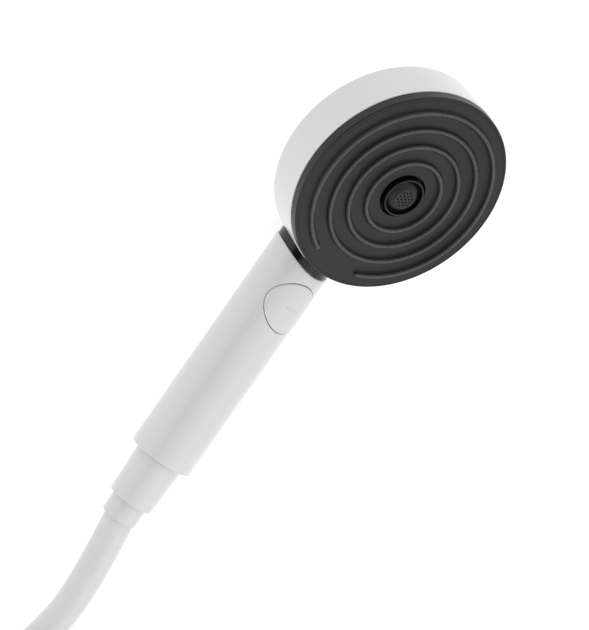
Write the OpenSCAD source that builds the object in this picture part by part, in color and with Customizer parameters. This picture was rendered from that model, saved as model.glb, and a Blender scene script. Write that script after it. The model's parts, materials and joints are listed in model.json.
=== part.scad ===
// Hand shower with a round spray head, a straight handle with a select button,
// and a hose that is wound into a coil. Millimetres, +Z up, lying on z = 0 with the spray face up.

/* [Head] */
// Outer diameter of the head
head_d = 105; // [102:0.5:108]
// Depth of the head's side wall
head_depth = 21.4; // [21:0.1:23]
// Lean of the spray face back towards the handle, in degrees
head_tilt = 14.5; // [14:0.5:15]
// From the handle's foot to the centre of the head's rim
head_reach = 166; // [165:0.5:168]
// Height of the rim's centre above the handle's axis
head_rise = 28; // [27.5:0.5:28.5]
// How far the black spray plate stands out of the rim
plate_proud = 5; // [4:0.1:6]
// Radius of the innermost spray ring
ring_first_r = 18.4; // [18:0.1:19]
// Distance from one spray ring to the next
ring_step = 8.75; // [8.5:0.05:8.8]
// Width of a spray ring where it leaves the plate
ring_w = 3.2; // [2.8:0.1:3.4]
// How far the spray rings stand out of the plate
ring_proud = 2.1; // [1.6:0.1:2.4]
// Gap in the outermost ring, in degrees
ring_gap = 36; // [20:1:60]

/* [Handle] */
// Outer diameter of the handle
handle_d = 32; // [32:0.1:32.4]
// Wall of the handle's shell
handle_wall = 2.6; // [2.4:0.1:2.6]
// Width of the black collar that shows between handle and head
collar_w = 3.9; // [3:0.1:5]
// How far the collar lies below the handle's surface
collar_inset = 0.8; // [0.6:0.1:1]

/* [Button] */
// From the handle's foot to the centre of the select button
button_x = 93; // [92.5:0.5:93.5]
// Diameter of the select button
button_d = 25; // [24:0.5:25]
// How far the button can be pressed
button_travel = 2.5; // [2:0.1:2.5]
// How far the button stands out of the handle
button_proud = 0.4; // [0.2:0.1:0.6]

/* [Hose] */
// Outer diameter of the hose
hose_d = 15.5; // [15:0.1:15.5]
// Outer diameter of the conical nut at its wide end
nut_wide_d = 24.4; // [24:0.1:24.6]
// Outer diameter of the conical nut at its narrow end
nut_narrow_d = 22.6; // [22:0.1:23]
// Outer diameter of the crimped sleeves
sleeve_d = 18; // [17.8:0.1:18.4]

/* [Hidden] */
$fn = 96;
fine_fn = 32;

white = [0.88, 0.88, 0.87];
black = [0.10, 0.10, 0.11];
grey = [0.36, 0.36, 0.37];
cream = [0.80, 0.79, 0.75];
red = [0.60, 0.18, 0.15];
steel = [0.70, 0.71, 0.73];
brass = [0.78, 0.66, 0.36];

cut = 1;                                // how far a cutter runs past what it cuts
play = 0.1;                             // radial clearance of a snug fit
run = 0.05;                             // radial clearance of a running fit

// Head, in its own frame: z = 0 is the rim plane, +z points out of the spray face.
head_r = head_d / 2;
head_wall = 2.5;
head_edge = 1.5;                        // rounding of the back edge
cup_r = head_r - head_wall;
cup_floor = head_wall - head_depth;
plate_r = head_r - 0.4;
plate_top = plate_proud;
plate_edge = 1.2;
plate_under = 1.4;
skirt_r = cup_r - 0.15;
skirt_in = skirt_r - 3.4;
skirt_low = -7;
skirt_mid = (skirt_low + play) / 2;
seal_groove_w = 2;
slot_depth = 1;                         // how deep a spray ring is let into the plate
slot_floor = plate_top - slot_depth;
ring_top = plate_top + ring_proud;
ring_crest_w = 1.2;
ring_count = 4;
ring_gap_at = 178.5;                    // where the outermost ring is open, in degrees about the head
nozzle_pitch = 7.2;                     // between the spray holes along a ring
nozzle_r = 0.4;
peg_r = 0.9;
seal_section = 0.75;

well_r = 11;                            // hole in the plate that takes the centre nozzle
well_edge = 0.5;
rim_r = 9.8;
rim_in = 8.9;
rim_top = plate_top + 1.9;
rim_floor = plate_top - 0.5;
rim_ledge = 2.4;                        // step between the rim and the plate
cone_r = 6.5;
cone_foot_r = rim_in - 2 * play;
cone_top_r = 5.2;
cone_top = plate_top + 2.6;
cone_low = -5;
jet_r = 0.45;
jet_step = 1.9;
disc_r = skirt_in - 0.2;
disc_low = -8.4;
disc_top = -6.4;
rib_top = plate_under - 0.2;
rib_w = 1.2;
peg_low = rib_top + play;
hub_r = 8.5;
hub_rib_r = 9;
feed_r = 4;                             // openings that feed the chambers
feed_hole_r = 1.5;
feed_twist = 20;
manifold_r = 40;
manifold_low = cup_floor + 0.3;
manifold_top = disc_low - play;
manifold_floor = 2.2;
manifold_in = 34;
screw_ring_r = 37;
screw_r = 1.2;
screw_head_r = 2.2;
screw_head_h = 1.6;
screw_key_r = 1;
screw_tip = -3.4;
screw_count = 6;
boss_top = -2.6;
boss_r = 2.5;
face_groove_r = 34.95;                  // centre line of the manifold's seal
face_groove_w = 1.1;
face_groove_h = 0.9;
face_seal_r = 0.44;

// Handle, in its own frame: x = 0 is the foot, +x points to the head along the handle's axis.
handle_r = handle_d / 2;
bore_r = handle_r - handle_wall;
foot_wall = 2.5;
mouth_r = head_r + collar_w;            // the handle ends on a cylinder round the head's axis
collar_r = handle_r - collar_inset;
spigot_r = bore_r - 0.15;
spigot_from = 107.5;
spigot_to = 126;
elbow_x = 138;                          // where the neck starts to fade into the head's back
elbow_rise = 26;
fade_len = 52;
fade_r = 5;
neck_wall = 2.7;
tube_r = 12;
tube_in = 9.8;
tube_from = 6;
tube_step = 42;
narrow_in = 6;
valve_from = 79.5;
valve_to = 107.3;
valve_r = 12.9;
valve_flat = 4.4;
outlet_r = 7.4;
outlet_in = 5.4;
outlet_to = 137;
socket_from = 127.8;
socket_to = 139;
socket_r = 9.6;
socket_seal_x = [131, 134.5];
socket_seal_r = 0.6;
socket_groove_w = 1.6;
run_out = 0.5;
clip_x = 126.2;
clip_w = 1.2;
clip_r = 8.7;
clip_gap = 10;
groove_r = 6.6;
nipple_out = 12;
nipple_r = 10.45;
nipple_in = 7;
nipple_flange_r = 13.2;
thread_pitch = 1.814;
thread_depth = 0.8;
thread_half = 0.6;
nipple_spigot_to = 22;
nipple_groove_x = 16;
nipple_groove_w = 2;
nipple_seal_r = 0.8;
strainer_hole_r = 0.75;
strainer_step = 2.1;
strainer_x = 0.5 - nipple_out;
strainer_h = 1;
regulator_x = -6;
regulator_h = 4;
regulator_wall = 1;
regulator_hole_r = 1.1;
regulator_pocket_r = 1.6;

// Valve under the button, on a vertical axis.
cap_in_r = handle_r - 1.8;
cap_boss_r = 4;
plunger_r = 4;
plunger_top = 8;
plunger_flange_r = 7;
plunger_flange_h = 1;
well_bore_r = 8.5;
guide_r = well_bore_r - play;
guide_low = -3.2;
guide_top = valve_flat;
guide_flange_r = 11;
guide_flange_h = 1.2;
spring_low = -2;
spring_bore = 7.4;
guide_tube_r = 4.9;
guide_tube_top = 4;
spring_wire = 0.5;
spring_turns = 5;
spring_r = 6.1;
rotor_low = -6;
rotor_top = -3.6;
cam_top = -3;
plunger_low = cam_top + button_travel + 2 * play;
cam_r = 3;
rotor_r = well_bore_r - 0.08;
seat_r = well_bore_r - 0.02;
seat_low = -8;
seal_low = -8.8;
port_count = 3;
port_r = 1.6;
port_ring = 5;
port_z = -5;
port_bore = 3;
port_reach = 8;
valve_screw_ring = 9.7;
valve_screw_r = 0.8;
valve_screw_low = -1.5;
valve_screw_head_r = 1.2;
valve_screw_head_h = 0.6;
guide_groove_z = 2;
guide_groove_w = 1.6;
guide_groove_depth = 0.7;
guide_seal_r = 0.38;
guide_flange_w = 20;

// Check valve, along the handle's axis.
cage_from = 24;
cage_to = 40;
cage_r = tube_in - play;
cage_in = 7.6;
cage_slot_at = 5;
cage_slot_r = 1.8;
seat_x = 27;
seat_bore = 4;
poppet_r = 5;
poppet_h = 1.6;
poppet_gap = 0.1;
stem_r = 1.5;
stem_to = 37;
stem_guide = 34;
check_wire = 0.3;
check_turns = 3;
check_coil_r = 2.4;

// Hose ends, in the handle's frame; the hose lies behind the foot.
nut_gap = 0.6;
nut_end = -25.1;
nut_run = 0.08;                         // radial clearance under the turning nuts
nut_bore_r = nipple_r + nut_run;
washer_from = -14;
barb_flange_from = -16.5;
barb_flange_r = 9.6;
shoulder_x = -16.7;
neck_r = 8;
barb_r = 5.4;
barb_in = 4;
barb_to = -33;
sleeve_from = -25.4;
sleeve_to = -35.2;
sleeve_wall = 1;
sleeve_r = sleeve_d / 2;
hose_r = hose_d / 2;

// Far end, in a frame whose +x runs on from the end of the hose.
far_sleeve_from = -10;
far_sleeve_to = 1.2;
far_barb_to = -9;
far_nut_from = 1.5;
far_nut_to = 16.5;
far_nut_r = 12.5;
far_flat_r = 12.2;
far_flats = 8;
far_bore_r = 10.5;
far_bore_from = 9.2;
far_runout_r = 11;
far_runout_from = 8.5;
far_pocket_r = barb_flange_r + 0.35;
far_shoulder = 4;
far_flange = 4.2;
far_washer_from = 6.7;
washer_h = 2;
washer_in = 5.5;

// The handset's box, without the hose, is centred on the origin.
far_edge_x = head_reach + (head_r - head_edge) * cos(head_tilt)
    + (head_depth - head_edge) * sin(head_tilt) + head_edge;
foot_x = -(far_edge_x - nipple_out) / 2;

// Hose route, in the part's frame. The lead is a list, the coil follows a rule.
lead_points = [
    [-131.5, 0, 16], [-141, -0.8, 16], [-152, -2.5, 16], [-164, -4.7, 15.6], [-175, -6.9, 14.4],
    [-187, -9.2, 12.6], [-198, -10.4, 10.6], [-210, -9.6, 8.9], [-221, -6.8, 8], [-231.5, -2.1, 7.75],
    [-241, 4.3, 7.75]
];
coil_centre = [-321, -50];
coil_angle = 41;                        // where the lead joins the coil, in degrees
coil_outer = 95;                        // radius of the hose's centre line where it joins
coil_inner = coil_outer - 2 * hose_d;
coil_upper = 79;                        // radius of the turn that lies on the other two
coil_turns = 2.97;
coil_up_from = 1.85;                    // turns after which the hose climbs onto the coil
coil_up_for = 0.4;
coil_out_from = 2.1;
coil_out_for = 0.5;
end_lift = 5.2;                         // the far nut is thicker than the hose
end_lift_from = 2.8;
tail_from = 2.84;
upper_arc = [2.3, 2.88];                // stretch of the upper turn that is a solid of its own
tube_sides = 10;

// ---------------------------------------------------------------- helpers

function ease(s) = let (c = min(max(s, 0), 1)) c * c * (3 - 2 * c);

function coil_radius(t) =
    t < 2 ? coil_outer - hose_d * t
    : coil_inner + (coil_upper - coil_inner) * ease((t - coil_out_from) / coil_out_for);

function coil_height(t) =
    hose_r + hose_d * ease((t - coil_up_from) / coil_up_for)
    + end_lift * ease((t - end_lift_from) / (coil_turns - end_lift_from));

function coil_heading(t) = coil_angle + 360 * t;

function coil_point(t) = [
    coil_centre.x + coil_radius(t) * cos(coil_heading(t)),
    coil_centre.y + coil_radius(t) * sin(coil_heading(t)),
    coil_height(t)
];

function unit(v) = v / norm(v);

// Direction of a route at point i, and two directions across it.
function along(points, i) =
    unit(points[min(i + 1, len(points) - 1)] - points[max(i - 1, 0)]);
function across(d) = unit(cross([0, 0, 1], d));

function ring_of(point, d, radius) = [
    for (k = [0 : tube_sides - 1])
        let (a = 360 * k / tube_sides, side = across(d), up = cross(d, side))
        point + radius * (cos(a) * side + sin(a) * up)
];

module swept_tube(points, radius) {
    rings = len(points);
    shell = [for (i = [0 : rings - 1]) each ring_of(points[i], along(points, i), radius)];
    sides = [
        for (i = [0 : rings - 2], k = [0 : tube_sides - 1])
            let (n = (k + 1) % tube_sides, a = i * tube_sides, b = a + tube_sides)
            [a + k, b + k, b + n, a + n]
    ];
    first = [for (k = [0 : tube_sides - 1]) k];
    last = [for (k = [tube_sides - 1 : -1 : 0]) (rings - 1) * tube_sides + k];
    polyhedron(points = shell, faces = concat(sides, [first], [last]), convexity = 4);
}

// The handle's frame inside the part's frame.
module in_handle() {
    translate([foot_x, 0, handle_r]) children();
}

module in_head() {
    in_handle() translate([head_reach, 0, head_rise]) rotate([0, -head_tilt, 0]) children();
}

module in_valve() {
    in_handle() translate([button_x, 0, 0]) children();
}

// A rod along +x from one station to another, and a cone between two radii.
module rod(from, to, radius) {
    translate([from, 0, 0]) rotate([0, 90, 0]) cylinder(h = to - from, r = radius);
}

module taper(from, to, r_from, r_to) {
    translate([from, 0, 0]) rotate([0, 90, 0]) cylinder(h = to - from, r1 = r_from, r2 = r_to);
}

module pipe(from, to, r_out, r_in) {
    difference() {
        rod(from, to, r_out);
        rod(from - cut, to + cut, r_in);
    }
}

module post(low, top, radius) {
    translate([0, 0, low]) cylinder(h = top - low, r = radius);
}

module collar(low, top, r_out, r_in) {
    difference() {
        post(low, top, r_out);
        post(low - cut, top + cut, r_in);
    }
}

module o_ring(radius, section) {
    rotate_extrude() translate([radius, 0]) circle(r = section, $fn = fine_fn);
}

module place_round(count, radius, first = 0) {
    for (k = [0 : count - 1])
        rotate([0, 0, first + 360 * k / count]) translate([radius, 0, 0]) children();
}

// A helical spring on +z, as one swept wire.
module coil_spring(low, top, radius, wire, turns) {
    steps = 12;
    count = steps * turns;
    rise = top - low - 2 * wire;
    points = [
        for (i = [0 : count])
            let (a = 360 * i / steps)
            [radius * cos(a), radius * sin(a), low + wire + rise * i / count]
    ];
    swept_tube(points, wire, $fn = 6);
}

// Everything that the neck takes up under the head, at a given radius.
module neck_form(radius, end_radius, from) {
    rod(from, elbow_x, radius);
    translate([elbow_x, 0, 0]) sphere(r = radius);
    translate([elbow_x, 0, 0]) rotate([0, 90 - elbow_rise, 0])
        cylinder(h = fade_len, r1 = radius, r2 = end_radius);
}

// ---------------------------------------------------------------- head

module head_cup() {
    corner = [head_r - head_edge, head_edge - head_depth];
    rounding = [for (a = [-90 : 15 : 0]) corner + head_edge * [cos(a), sin(a)]];
    rotate_extrude() polygon(concat([[0, -head_depth]], rounding, [[head_r, 0], [0, 0]]));
}

module head_shell() color(white) difference() {
    union() {
        in_head() head_cup();
        intersection() {
            in_handle() neck_form(handle_r, fade_r, spigot_from);
            in_head() post(-3 * head_depth, 0, head_r);
        }
    }
    in_head() post(cup_floor, cut, cup_r);
    in_handle() neck_form(handle_r - neck_wall, fade_r - neck_wall, spigot_from - cut);
}

function ring_r(k) = ring_first_r + (k - 1) * ring_step;
function ring_span(k) = k == ring_count ? 360 - ring_gap : 360;
function nozzle_count(k) = floor(2 * PI * ring_r(k) * ring_span(k) / 360 / nozzle_pitch);

// Sweeps a section along a spray ring, with its ends run out by extra. The outermost ring is open.
module along_ring(k, extra) {
    spare = extra / ring_r(k) * 180 / PI;
    rotate([0, 0, ring_gap_at + ring_gap / 2 - spare])
        rotate_extrude(angle = min(ring_span(k) + 2 * spare, 360)) translate([ring_r(k), 0]) children();
}

module at_nozzles(k) {
    count = nozzle_count(k);
    span = ring_span(k);
    for (i = [0 : count - 1])
        rotate([0, 0, ring_gap_at + (360 - span) / 2 + span * (i + 0.5) / count])
            translate([ring_r(k), 0, 0]) children();
}

module spray_plate() color(black) in_head() difference() {
    rotate_extrude() polygon([
        [well_r, plate_under], [skirt_in, plate_under], [skirt_in, skirt_low], [skirt_r, skirt_low],
        [skirt_r, play], [plate_r, play], [plate_r, plate_top - plate_edge],
        [plate_r - plate_edge, plate_top], [well_r + well_edge, plate_top], [well_r, plate_top - well_edge]
    ]);
    for (k = [1 : ring_count]) {
        along_ring(k, play) translate([-ring_w / 2 - play, slot_floor])
            square([ring_w + 2 * play, slot_depth + cut]);
        at_nozzles(k) post(0, plate_top, peg_r);
    }
    translate([0, 0, skirt_mid])
        collar(-seal_groove_w / 2, seal_groove_w / 2, skirt_r + cut, skirt_r - 2 * seal_section);
}

module spray_ring(k) color(grey) in_head() difference() {
    union() {
        along_ring(k, 0) polygon([
            [-ring_w / 2, slot_floor], [ring_w / 2, slot_floor], [ring_w / 2, plate_top],
            [ring_crest_w / 2, ring_top], [-ring_crest_w / 2, ring_top], [-ring_w / 2, plate_top]
        ]);
        at_nozzles(k) post(peg_low, slot_floor + play, peg_r);
    }
    at_nozzles(k) post(peg_low - cut, ring_top + cut, nozzle_r);
}

module spray_ring_1() spray_ring(1);
module spray_ring_2() spray_ring(2);
module spray_ring_3() spray_ring(3);
module spray_ring_4() spray_ring(4);

module centre_rim() color(black) in_head() rotate_extrude() polygon([
    [cone_r + play, plate_under], [well_r - play, plate_under],
    [well_r - play, rim_ledge], [rim_r, rim_ledge], [rim_r, rim_top],
    [rim_in, rim_top], [rim_in, rim_floor], [cone_r + play, rim_floor]
]);

module centre_nozzle() color(black) in_head() difference() {
    union() {
        post(cone_low, rim_floor, cone_r);
        translate([0, 0, rim_floor]) cylinder(h = cone_top - rim_floor, r1 = cone_foot_r, r2 = cone_top_r);
        post(0, plate_under - play, hub_r);
    }
    post(cone_low - cut, cone_top - 1, cone_top_r - 1);
    for (row = [-2 : 2], i = [0 : 4 - abs(row)])
        translate([(i - (4 - abs(row)) / 2) * jet_step, row * jet_step * sin(60), 0])
            post(0, cone_top + cut, jet_r);
}

module plate_seal() color(red) in_head() translate([0, 0, skirt_mid])
    o_ring(skirt_r - seal_section + run, seal_section);

// The ribs divide the chambers halfway between the rings.
function rib_r(k) = ring_r(k) + ring_step / 2;

module at_screws() {
    place_round(screw_count, screw_ring_r, 180 / screw_count) children();
}

// Spreads the water to the rings; its ribs divide the chambers of the spray modes.
module chamber_disc() color(cream) in_head() difference() {
    union() {
        post(disc_low, disc_top, disc_r);
        collar(disc_top - cut, rib_top, disc_r, disc_r - rib_w);
        for (k = [1 : ring_count - 1])
            collar(disc_top - cut, rib_top, rib_r(k) + rib_w / 2, rib_r(k) - rib_w / 2);
        collar(disc_top - cut, rib_top, hub_rib_r + rib_w, hub_rib_r);
        at_screws() post(disc_top - cut, boss_top, boss_r);
    }
    post(disc_low - cut, disc_top + cut, feed_r);
    at_screws() post(disc_low - cut, screw_tip + 2 * play, screw_r + run);
    for (k = [1 : ring_count - 1])
        place_round(screw_count, ring_r(k), feed_twist * k) post(disc_low - cut, disc_top + cut, feed_hole_r);
}

module manifold() color(white) difference() {
    union() {
        in_head() post(manifold_low, manifold_top, manifold_r);
        in_handle() rod(socket_from, socket_to, socket_r);
    }
    in_head() post(manifold_low + manifold_floor, manifold_top + cut, manifold_in);
    in_handle() rod(socket_from - cut, outlet_to + run_out, outlet_r + play);
    in_head() at_screws() {
        post(manifold_low - cut, manifold_top + cut, screw_r + run);
        post(manifold_low - cut, manifold_low + screw_head_h, screw_head_r + play);
    }
    in_head() translate([0, 0, manifold_top])
        collar(-face_groove_h, cut, face_groove_r + face_groove_w / 2, face_groove_r - face_groove_w / 2);
}

module manifold_screws() color(steel) in_head() at_screws() difference() {
    union() {
        post(manifold_low + 2 * play, manifold_low + screw_head_h, screw_head_r);
        post(manifold_low + 2 * play, screw_tip, screw_r);
    }
    translate([0, 0, manifold_low]) cylinder(h = screw_head_h / 2, r = screw_key_r, $fn = 6);
}

module manifold_seal() color(red) in_head() translate([0, 0, manifold_top - face_groove_h / 2])
    o_ring(face_groove_r, face_seal_r);

module socket_seals() color(red) in_handle() for (x = socket_seal_x)
    translate([x, 0, 0]) rotate([0, 90, 0]) o_ring(outlet_r - socket_seal_r + run, socket_seal_r);

// ---------------------------------------------------------------- neck and handle

module neck_collar() color(black) difference() {
    union() {
        in_handle() rod(spigot_from, spigot_to, spigot_r);
        intersection() {
            in_handle() rod(spigot_from, spigot_to + 4, collar_r);
            in_head() collar(-4 * head_depth, head_depth, mouth_r, head_r);
        }
    }
    in_handle() rod(spigot_from - cut, spigot_to + 5, outlet_r + play);
    in_head() post(cup_floor, head_depth, cup_r - play);
}

module collar_clip() color(steel) in_handle() difference() {
    pipe(clip_x, clip_x + clip_w, clip_r, groove_r + run);
    translate([clip_x - cut, -clip_gap / 2, -clip_r - cut])
        cube([clip_w + 2 * cut, clip_gap, clip_r]);
}

module handle_shell() color(white) difference() {
    in_handle() rod(0, spigot_to, handle_r);
    in_handle() rod(foot_wall, spigot_to + cut, bore_r);
    in_handle() rod(-cut, foot_wall + cut, nipple_r + play);
    in_head() post(-4 * head_depth, 3 * head_depth, mouth_r);
    in_valve() post(0, handle_r + cut, button_d / 2 + 0.3);
}

module thread_grooves(from, to) {
    for (x = [from : thread_pitch : to]) translate([x, 0, 0]) rotate([0, 90, 0]) rotate_extrude()
        translate([nipple_r, 0]) polygon([
            [cut, -thread_half], [cut, thread_half], [0, thread_half], [-thread_depth, 0], [0, -thread_half]
        ]);
}

module inlet_nipple() color(white) in_handle() difference() {
    union() {
        rod(-nipple_out, foot_wall, nipple_r);
        rod(foot_wall, tube_from, nipple_flange_r);
        rod(tube_from, nipple_spigot_to, tube_in - play);
    }
    rod(-nipple_out - cut, nipple_spigot_to + cut, nipple_in);
    thread_grooves(1 - nipple_out, -1);
    pipe(nipple_groove_x - nipple_groove_w / 2, nipple_groove_x + nipple_groove_w / 2,
        tube_in + cut, tube_in - play - 2 * nipple_seal_r);
}

module nipple_seal() color(red) in_handle() translate([nipple_groove_x, 0, 0]) rotate([0, 90, 0])
    o_ring(tube_in - run - nipple_seal_r, nipple_seal_r);

module inlet_strainer() color(steel) in_handle() translate([strainer_x, 0, 0]) difference() {
    rod(0, strainer_h, nipple_in - play);
    rod(-cut, strainer_h + cut, strainer_hole_r);
    for (row = [1 : 2], k = [1 : 6 * row])
        rotate([60 * k / row, 0, 0]) translate([0, 0, strainer_step * row])
            rod(-cut, strainer_h + cut, strainer_hole_r);
}

module flow_regulator() color(cream) in_handle() translate([regulator_x, 0, 0]) difference() {
    union() {
        pipe(-regulator_h / 2, regulator_h / 2, nipple_in - play, nipple_in - 2 * regulator_wall);
        rod(-regulator_wall, regulator_wall, nipple_in - regulator_wall);
    }
    for (k = [0 : 5]) rotate([60 * k, 0, 0]) translate([0, 0, nipple_in / 2])
        rod(-regulator_h, regulator_h, regulator_hole_r);
    rod(-regulator_h, -regulator_wall / 2, regulator_pocket_r);
}

module check_cage() color(cream) in_handle() difference() {
    rod(cage_from, cage_to, cage_r);
    rod(cage_from - cut, seat_x + cut, seat_bore);
    rod(seat_x, stem_guide, cage_in);
    rod(stem_guide - cut, cage_to + cut, stem_r + run);
    for (k = [0 : 2])
        rotate([120 * k, 0, 0]) translate([0, 0, cage_slot_at])
            rod(stem_guide - cut, cage_to + cut, cage_slot_r);
}

module check_poppet() color(black) in_handle() {
    rod(seat_x + poppet_gap, seat_x + poppet_gap + poppet_h, poppet_r);
    rod(seat_x + poppet_gap, stem_to, stem_r);
}

module check_spring() color(steel) in_handle() rotate([0, 90, 0])
    coil_spring(seat_x + poppet_gap + poppet_h, stem_guide, check_coil_r, check_wire, check_turns);

module water_tube() color(cream) difference() {
    in_handle() {
        rod(tube_from, valve_from + cut, tube_r);
        rod(valve_from, valve_to, valve_r);
        rod(valve_to - cut, outlet_to, outlet_r);
    }
    in_handle() {
        rod(tube_from - cut, tube_step, tube_in);
        rod(tube_step - cut, valve_from - port_reach / 2, narrow_in);
        for (x = [valve_from, valve_to])
            translate([x, 0, port_z]) rod(-port_reach, port_reach, port_bore);
        rod(valve_to, outlet_to + cut, outlet_in);
        pipe(clip_x - play, clip_x + clip_w + play, outlet_r + cut, groove_r);
        for (x = socket_seal_x) translate([x, 0, 0])
            pipe(-socket_groove_w / 2, socket_groove_w / 2, outlet_r + cut, outlet_r - 2 * socket_seal_r);
    }
    in_valve() {
        post(seal_low, handle_r, well_bore_r);
        translate([0, 0, valve_flat + handle_r])
            cube([2 * guide_flange_r + 3, 2 * handle_r, 2 * handle_r], center = true);
        at_valve_screws() post(spring_low, valve_flat + cut, valve_screw_r + run);
    }
}

// ---------------------------------------------------------------- button and valve

module at_valve_screws() {
    place_round(2, valve_screw_ring, 45) children();
}

module button_cap() color(white) union() {
    difference() {
        intersection() {
            in_handle() rod(button_x - button_d, button_x + button_d, handle_r + button_proud);
            in_valve() post(0, 2 * handle_r, button_d / 2);
        }
        in_handle() rod(button_x - button_d - cut, button_x + button_d + cut, cap_in_r);
    }
    in_valve() post(plunger_top, cap_in_r + cut / 2, cap_boss_r);
}

module button_plunger() color(black) in_valve() difference() {
    union() {
        post(plunger_low, plunger_top, plunger_r);
        post(plunger_top - plunger_flange_h, plunger_top, plunger_flange_r);
    }
    post(plunger_low - cut, plunger_top - 3 * plunger_flange_h, plunger_r / 2);
}

module button_spring() color(steel) in_valve()
    coil_spring(spring_low, plunger_top - plunger_flange_h, spring_r, spring_wire, spring_turns);

module valve_guide() color(cream) in_valve() difference() {
    union() {
        post(guide_low, guide_top, guide_r);
        intersection() {
            post(guide_top, guide_top + guide_flange_h, guide_flange_r);
            translate([0, 0, guide_top])
                cube([2 * guide_flange_r, guide_flange_w, 4 * guide_flange_h], center = true);
        }
    }
    collar(spring_low, guide_top + guide_flange_h + cut, spring_bore, guide_tube_r);
    post(guide_tube_top, guide_top + guide_flange_h + cut, spring_bore);
    post(guide_low - cut, guide_top + guide_flange_h + cut, plunger_r + run);
    translate([0, 0, guide_groove_z])
        collar(-guide_groove_w / 2, guide_groove_w / 2, guide_r + cut, guide_r - guide_groove_depth);
    at_valve_screws() post(guide_top - cut, guide_top + guide_flange_h + cut, valve_screw_r + 3 * play);
}

module guide_seal() color(red) in_valve() translate([0, 0, guide_groove_z])
    o_ring(guide_r - guide_seal_r + play, guide_seal_r);

module valve_screws() color(steel) in_valve() at_valve_screws() {
    head_low = guide_top + guide_flange_h;
    post(valve_screw_low, head_low, valve_screw_r);
    post(head_low, head_low + valve_screw_head_h, valve_screw_head_r);
}

module at_ports() {
    place_round(port_count, port_ring) children();
}

module diverter_rotor() color(black) in_valve() difference() {
    union() {
        post(rotor_low, rotor_top, rotor_r);
        post(rotor_top, cam_top, cam_r);
    }
    translate([port_ring, 0, 0]) post(rotor_low - cut, rotor_top + cut, port_r);
}

module diverter_seat() color(white) in_valve() difference() {
    post(seat_low, rotor_low - play, seat_r);
    at_ports() post(seat_low - cut, rotor_low + cut, port_r);
}

module diverter_seal() color(red) in_valve() difference() {
    post(seal_low, seat_low, seat_r);
    at_ports() post(seal_low - cut, seat_low + cut, port_r + 3 * play);
}

// ---------------------------------------------------------------- hose

module cone_nut() color(white) in_handle() difference() {
    taper(nut_end, -nut_gap, nut_narrow_d / 2, nut_wide_d / 2);
    rod(shoulder_x, cut, nut_bore_r);
    rod(nut_end - cut, shoulder_x + cut, neck_r + nut_run);
}

module hose_washer() color(red) in_handle() pipe(washer_from, -nipple_out, barb_flange_r, washer_in);

module barb(flange_from, flange_to, neck_to, stem_to) {
    difference() {
        union() {
            rod(flange_from, flange_to, barb_flange_r);
            rod(neck_to, flange_from + play, neck_r);
            rod(stem_to, neck_to + play, barb_r);
        }
        rod(stem_to - cut, flange_to + cut, barb_in);
    }
}

module hose_barb() color(brass) in_handle() barb(barb_flange_from, washer_from, sleeve_from, barb_to);

module sleeve(from, to) {
    difference() {
        rod(from, to, sleeve_r);
        rod(from - cut, to - sleeve_wall, hose_r + run);
        rod(from - cut, to + cut, barb_r + run);
    }
}

module near_sleeve() color(white) in_handle() sleeve(sleeve_to, sleeve_from);

module hose_lead() color(white)
    swept_tube(concat(lead_points, [for (t = [0, 0.04]) coil_point(t)]), hose_r);

module coil_band(r_in, r_out, low, top, from, angle) {
    translate([coil_centre.x, coil_centre.y, 0]) rotate([0, 0, from]) rotate_extrude(angle = angle)
        translate([r_in, low]) square([r_out - r_in, top - low]);
}

// The turns that lie on the ground, and the one that lies on them.
module hose_coil() color(white)
    coil_band(coil_inner - hose_r, coil_outer + hose_r, 0, hose_d, 0, 360);

module hose_upper_turn() color(white)
    coil_band(coil_inner, coil_upper + hose_r, hose_d, 2 * hose_d,
        coil_heading(upper_arc[0]), 360 * (upper_arc[1] - upper_arc[0]));

module hose_tail() color(white)
    swept_tube([for (i = [0 : 8]) coil_point(tail_from + (coil_turns - tail_from) * i / 8)], hose_r);

// The far end's frame: +x runs on from the end of the hose.
module in_far_end() {
    translate(coil_point(coil_turns)) rotate([0, 0, coil_heading(coil_turns) + 90]) children();
}

module far_sleeve() color(white) in_far_end() sleeve(far_sleeve_from, far_sleeve_to);

module far_barb() color(brass) in_far_end() barb(far_flange, far_washer_from, far_sleeve_to, far_barb_to);

module far_nut() color(white) in_far_end() difference() {
    intersection() {
        rod(far_nut_from, far_nut_to, far_nut_r);
        rotate([0, 90, 0]) rotate([0, 0, 180 / far_flats])
            cylinder(h = far_nut_to + cut, r = far_flat_r / cos(180 / far_flats), $fn = far_flats);
    }
    rod(far_bore_from, far_nut_to + cut, far_bore_r);
    rod(far_runout_from, far_bore_from, far_runout_r);
    rod(far_shoulder, far_runout_from + cut, far_pocket_r);
    rod(far_nut_from - cut, far_shoulder + cut, neck_r + nut_run);
}

module far_washer() color(red) in_far_end()
    pipe(far_washer_from, far_washer_from + washer_h, barb_flange_r, washer_in);

// ---------------------------------------------------------------- assembly

head_shell();
spray_plate();
spray_ring_1();
spray_ring_2();
spray_ring_3();
spray_ring_4();
centre_rim();
centre_nozzle();
plate_seal();
chamber_disc();
manifold();
manifold_screws();
manifold_seal();
socket_seals();
neck_collar();
collar_clip();
handle_shell();
water_tube();
inlet_nipple();
nipple_seal();
inlet_strainer();
flow_regulator();
check_cage();
check_poppet();
check_spring();
button_cap();
button_plunger();
button_spring();
valve_guide();
guide_seal();
valve_screws();
diverter_rotor();
diverter_seat();
diverter_seal();
cone_nut();
hose_washer();
hose_barb();
near_sleeve();
hose_lead();
hose_coil();
hose_upper_turn();
hose_tail();
far_sleeve();
far_barb();
far_nut();
far_washer();
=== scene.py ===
"""A hand shower with its hose, lying with the spray face up.

Lengths are in millimetres in local frames until mesh_object() places them in the part's frame, in metres.
"""

import json
import math

import bpy
import bmesh
from mathutils import Matrix, Vector


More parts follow.
